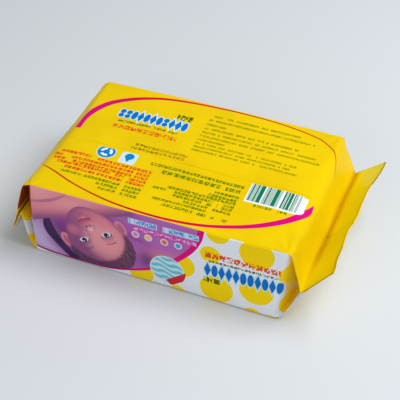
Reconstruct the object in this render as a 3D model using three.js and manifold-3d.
// A sealed soft pack of wet wipes: a printed film tube round a stack of folded wipes, lying on its front.
// The tube is closed lengthwise by a back seam, folded flat on top, and at each end by a fin seal.
// The side panels fold inwards at each end, so a pocket opens under each corner of the end panel.
// Lengths are in millimetres, from the middle of the resting face: X along the pack, Y across it, +Z up.
import * as THREE from "three";
import { mergeVertices } from "three/addons/utils/BufferGeometryUtils.js";
import Module from "manifold-3d";

// Body of the pack, measured between the folds where the end panels begin.
const LENGTH = 158;
const WIDTH = 109;
const HEIGHT = 52;
const TOP_CROWN = 0.8; // how far the stack of wipes lifts the middle of the top
const END_CROWN = 0.4; // the part of that crown left beside the end panels
const CROWN_LINES = [0.33, 0.66]; // where the crown is followed, as parts of half the width
const SIDE_SWELL = 0.9; // how far each long side swells at mid length
const TOP_EDGE_RADIUS = 1.8;
const BASE_EDGE_RADIUS = 2;
const FOLDED_EDGE_RADIUS = 0.15; // of the film folded back on itself, beside a pocket
const EDGE_FADE = 0.6; // how far along an end panel the body's rounded edges last

// Ends. The two profiles are those of the end panels above and below the fin, seen from the side.
const POCKET_DEPTH = 26; // the side panel's half height, folded in at the fin root
const LIP = 0.5; // the two layers of film beside a pocket
const FIN_THICKNESS = 1.5;
const RIGHT_END = {
  side: 1,
  rootX: 88.3,
  rootZ: 26.5,
  topSoftness: 5,
  baseSoftness: 9,
  finLength: 22.5,
  finAngle: 47,
  finCurl: -8,
};
const LEFT_END = {
  side: -1,
  rootX: 88.9,
  rootZ: 27.2,
  topSoftness: 5,
  baseSoftness: 5,
  finLength: 17,
  finAngle: -68,
  finCurl: -8,
};
const CORNER_STEPS = 4;
const PANEL_STEPS = 5;
const FIN_STEPS = 4;
const BODY_STATIONS = [-0.6, -0.3, 0, 0.3, 0.6]; // as parts of half the length

// Back seam: a flap folded flat towards the front side, with its free edge on that side.
const SEAM_FREE_EDGE = -5;
const SEAM_STEP = 0.02; // the free edge stands almost upright
const SEAM_ROOT = 5;
const SEAM_FADE = 4;
const SEAM_THICKNESS = 0.4;

// Reseal label, on the underside, over the opening that the wipes are pulled through.
const LABEL_LENGTH = 108;
const LABEL_WIDTH = 62;
const LABEL_CORNER = 14;
const LABEL_THICKNESS = 0.4;
const TAB_WIDTH = 24;
const TAB_REACH = 12;
const TAB_CORNER = 6;
const LABEL_GAP = 0.3; // between the label's edge and the film that swells round it

const wasm = await Module();
wasm.setup();

// A geometry as a manifold solid, for joining and cutting.
function solidOf(geometry) {
  const bare = geometry.clone();
  bare.deleteAttribute("normal");
  bare.deleteAttribute("uv");
  const merged = mergeVertices(bare, 1e-4);
  return new wasm.Manifold(
    new wasm.Mesh({
      numProp: 3,
      vertProperties: merged.attributes.position.array,
      triVerts: new Uint32Array(merged.index.array),
    }),
  );
}

function geometryOf(solid) {
  const mesh = solid.getMesh();
  const geometry = new THREE.BufferGeometry();
  geometry.setAttribute("position", new THREE.BufferAttribute(mesh.vertProperties, 3));
  geometry.setIndex(new THREE.BufferAttribute(mesh.triVerts, 1));
  geometry.computeVertexNormals();
  return geometry;
}

// A softened corner from one point towards another: a quadratic curve that the sharp corner controls.
function softCorner(from, corner, to, steps) {
  const curve = new THREE.QuadraticBezierCurve(from, corner, to);
  return curve.getPoints(steps);
}

function pointsBetween(from, to, steps) {
  return new THREE.LineCurve(from, to).getPoints(steps).slice(1);
}

// Side profile of one end panel, from the flat of the body over its softened corner to the fin root.
function panelProfile(end, z, softness, rootOffset) {
  const corner = new THREE.Vector2(LENGTH / 2 + softness / 4, z);
  const root = new THREE.Vector2(end.rootX, end.rootZ + rootOffset);
  const start = new THREE.Vector2(corner.x - softness, z);
  const down = root.clone().sub(corner).setLength(softness);
  const landing = corner.clone().add(down);
  const bend = softCorner(start, corner, landing, CORNER_STEPS);
  return bend.concat(pointsBetween(landing, root, PANEL_STEPS));
}

// Middle line of the fin seal, from its root to its free edge, curling a little along its length.
function finLine(end) {
  const step = end.finLength / FIN_STEPS;
  const point = new THREE.Vector2(end.rootX, end.rootZ);
  const line = [];
  for (let i = 1; i <= FIN_STEPS; i += 1) {
    const turn = end.finAngle + (end.finCurl * (i - 1)) / (FIN_STEPS - 1);
    const heading = THREE.MathUtils.degToRad(turn);
    point.add(new THREE.Vector2(Math.cos(heading), Math.sin(heading)).multiplyScalar(step));
    line.push({ x: point.x, z: point.y, heading });
  }
  return line;
}

// Stations of one end from the body outwards, each with its upper and lower outline points and pocket depth.
function endStations(end) {
  const half = FIN_THICKNESS / 2;
  const upper = panelProfile(end, HEIGHT, end.topSoftness, half);
  const lower = panelProfile(end, 0, end.baseSoftness, -half);
  const drop = HEIGHT - end.rootZ - half;
  const stations = upper.map((point, i) => ({
    upper: [end.side * point.x, point.y],
    lower: [end.side * lower[i].x, lower[i].y],
    fold: (HEIGHT - point.y) / drop,
    swell: 0,
  }));
  finLine(end).forEach((point) => {
    const across = [-Math.sin(point.heading) * half, Math.cos(point.heading) * half];
    stations.push({
      upper: [end.side * (point.x + across[0]), point.z + across[1]],
      lower: [end.side * (point.x - across[0]), point.z - across[1]],
      fold: 1,
      swell: 0,
    });
  });
  return stations;
}

function bodyStations() {
  return BODY_STATIONS.map((part) => ({
    upper: [(part * LENGTH) / 2, HEIGHT],
    lower: [(part * LENGTH) / 2, 0],
    fold: 0,
    swell: 1 - part * part,
  }));
}

// Quarter circle round a corner of the section, from one angle to another in degrees.
function cornerArc(y, height, radius, fromDegrees, toDegrees) {
  const arc = new THREE.Path();
  const from = THREE.MathUtils.degToRad(fromDegrees);
  const to = THREE.MathUtils.degToRad(toDegrees);
  arc.absarc(y, height, radius, from, to, true);
  return arc.getPoints(2);
}

// Top line of the section from the front side to the back, with the seam flap's step, at a given crown.
function topLine(height, crown, halfWidth) {
  const raised = (y, extra) => {
    const part = y / halfWidth;
    return new THREE.Vector2(y, height + crown * (1 - part * part) + extra);
  };
  const crownPoints = CROWN_LINES.map((part) => raised(part * halfWidth, 0));
  const frontCrownPoints = CROWN_LINES.map((part) => raised(-part * halfWidth, 0)).reverse();
  return [
    ...frontCrownPoints,
    raised(SEAM_FREE_EDGE, 0),
    raised(SEAM_FREE_EDGE + SEAM_STEP, SEAM_THICKNESS),
    raised(SEAM_ROOT, SEAM_THICKNESS),
    raised(SEAM_ROOT + SEAM_FADE, 0),
    ...crownPoints,
  ];
}

// The back side of the section from top to bottom: straight on the body, folded in as a pocket at an end.
function pocketLine(height, depth, halfWidth, topInset, baseInset) {
  const inner = halfWidth - depth;
  const upperLip = height - topInset;
  return [
    new THREE.Vector2(halfWidth, upperLip),
    new THREE.Vector2(inner, upperLip),
    new THREE.Vector2(inner, (upperLip + baseInset) / 2),
    new THREE.Vector2(inner, baseInset),
    new THREE.Vector2(halfWidth, baseInset),
  ];
}

// Closed outline of the section at one station, across the pack (x) and up from the lower outline (y).
function sectionAt(station) {
  const height = Math.hypot(station.upper[0] - station.lower[0], station.upper[1] - station.lower[1]);
  const roundness = Math.max(0, 1 - station.fold / EDGE_FADE);
  const halfWidth = WIDTH / 2 + SIDE_SWELL * station.swell;
  const topRadius = TOP_EDGE_RADIUS * roundness + FOLDED_EDGE_RADIUS;
  const baseRadius = BASE_EDGE_RADIUS * roundness + FOLDED_EDGE_RADIUS;
  const depth = POCKET_DEPTH * station.fold;
  const topInset = Math.max(LIP, topRadius);
  const baseInset = Math.max(LIP, baseRadius);
  const crown = TOP_CROWN * roundness * THREE.MathUtils.lerp(END_CROWN, 1, station.swell);
  const mirrored = (points) => points.map((p) => new THREE.Vector2(-p.x, p.y)).reverse();
  const topBack = cornerArc(halfWidth - topRadius, height - topRadius, topRadius, 90, 0).slice(0, -1);
  const baseBack = cornerArc(halfWidth - baseRadius, baseRadius, baseRadius, 0, -90).slice(1);
  const back = pocketLine(height, depth, halfWidth, topInset, baseInset);
  const baseMiddle = new THREE.Vector2(0, 0);
  return [
    ...topLine(height, crown, halfWidth),
    ...topBack,
    ...back,
    ...baseBack,
    baseMiddle,
    ...mirrored(baseBack),
    ...mirrored(back),
    ...mirrored(topBack),
  ];
}

// The section's points in space: its height runs from the station's lower outline point to its upper one.
function ringAt(station) {
  const [upperX, upperZ] = station.upper;
  const [lowerX, lowerZ] = station.lower;
  const height = Math.hypot(upperX - lowerX, upperZ - lowerZ);
  return sectionAt(station).map((point) => {
    const part = point.y / height;
    return new THREE.Vector3(
      lowerX + (upperX - lowerX) * part,
      point.x,
      lowerZ + (upperZ - lowerZ) * part,
    );
  });
}

// Closed skin through the rings, capped at both fin edges.
function loft(stations) {
  const rings = stations.map(ringAt);
  const count = rings[0].length;
  const index = [];
  rings.slice(1).forEach((_, r) => {
    for (let i = 0; i < count; i += 1) {
      const next = (i + 1) % count;
      const a = r * count + i;
      const b = r * count + next;
      index.push(a, b + count, b, a, a + count, b + count);
    }
  });
  const cap = (ringNumber, flip) => {
    const outline = sectionAt(stations[ringNumber]);
    THREE.ShapeUtils.triangulateShape(outline, []).forEach(([a, b, c]) => {
      const order = flip ? [a, c, b] : [a, b, c];
      order.forEach((corner) => index.push(ringNumber * count + corner));
    });
  };
  cap(0, true);
  cap(rings.length - 1, false);
  const geometry = new THREE.BufferGeometry().setFromPoints(rings.flat());
  geometry.setIndex(index);
  return withoutSlivers(mergeVertices(geometry, 1e-3));
}

// Drops triangles that have shrunk to a line, which the rings have where a pocket starts from nothing.
function withoutSlivers(geometry) {
  const source = geometry.index.array;
  const kept = [];
  for (let i = 0; i < source.length; i += 3) {
    const [a, b, c] = source.slice(i, i + 3);
    if (a !== b && b !== c && c !== a) {
      kept.push(a, b, c);
    }
  }
  geometry.setIndex(kept);
  return geometry;
}

// Outline of the reseal label with its pull tab, grown all round by a given amount.
function labelShape(grow) {
  const halfX = LABEL_LENGTH / 2 + grow;
  const halfY = LABEL_WIDTH / 2 + grow;
  const corner = LABEL_CORNER + grow;
  const tabY = TAB_WIDTH / 2 + grow;
  const tabX = halfX + TAB_REACH;
  const shape = new THREE.Shape();
  shape.moveTo(-halfX + corner, -halfY);
  shape.lineTo(halfX - corner, -halfY);
  shape.absarc(halfX - corner, -halfY + corner, corner, -Math.PI / 2, 0, false);
  shape.lineTo(halfX, -tabY);
  shape.lineTo(tabX - TAB_CORNER, -tabY);
  shape.absarc(tabX - TAB_CORNER, -tabY + TAB_CORNER, TAB_CORNER, -Math.PI / 2, 0, false);
  shape.absarc(tabX - TAB_CORNER, tabY - TAB_CORNER, TAB_CORNER, 0, Math.PI / 2, false);
  shape.lineTo(halfX, tabY);
  shape.absarc(halfX - corner, halfY - corner, corner, 0, Math.PI / 2, false);
  shape.lineTo(-halfX + corner, halfY);
  shape.absarc(-halfX + corner, halfY - corner, corner, Math.PI / 2, Math.PI, false);
  shape.absarc(-halfX + corner, -halfY + corner, corner, Math.PI, 1.5 * Math.PI, false);
  return shape;
}

function labelGeometry(grow, depth) {
  return new THREE.ExtrudeGeometry(labelShape(grow), {
    depth,
    bevelEnabled: false,
    curveSegments: 6,
  });
}

// The sealed pack as one solid, film, seals and the wipes inside, with a shallow seat for the label.
function makeFilmPack() {
  const leftEnd = endStations(LEFT_END).reverse();
  const rightEnd = endStations(RIGHT_END);
  const skin = loft([...leftEnd, ...bodyStations(), ...rightEnd]);
  const seat = labelGeometry(LABEL_GAP, 2 * LABEL_THICKNESS).translate(0, 0, -LABEL_THICKNESS);
  const pack = solidOf(skin).subtract(solidOf(seat));
  const material = new THREE.MeshStandardMaterial({ color: 0xf5d307, roughness: 0.42, metalness: 0 });
  const mesh = new THREE.Mesh(geometryOf(pack), material);
  mesh.name = "film_pack";
  return mesh;
}

function makeResealLabel() {
  const material = new THREE.MeshStandardMaterial({ color: 0xf2f4f6, roughness: 0.3, metalness: 0 });
  const mesh = new THREE.Mesh(labelGeometry(0, LABEL_THICKNESS), material);
  mesh.name = "reseal_label";
  return mesh;
}

const wipesPack = new THREE.Group();
wipesPack.name = "wet_wipes_pack";
wipesPack.add(makeFilmPack());
wipesPack.add(makeResealLabel());

export default wipesPack;
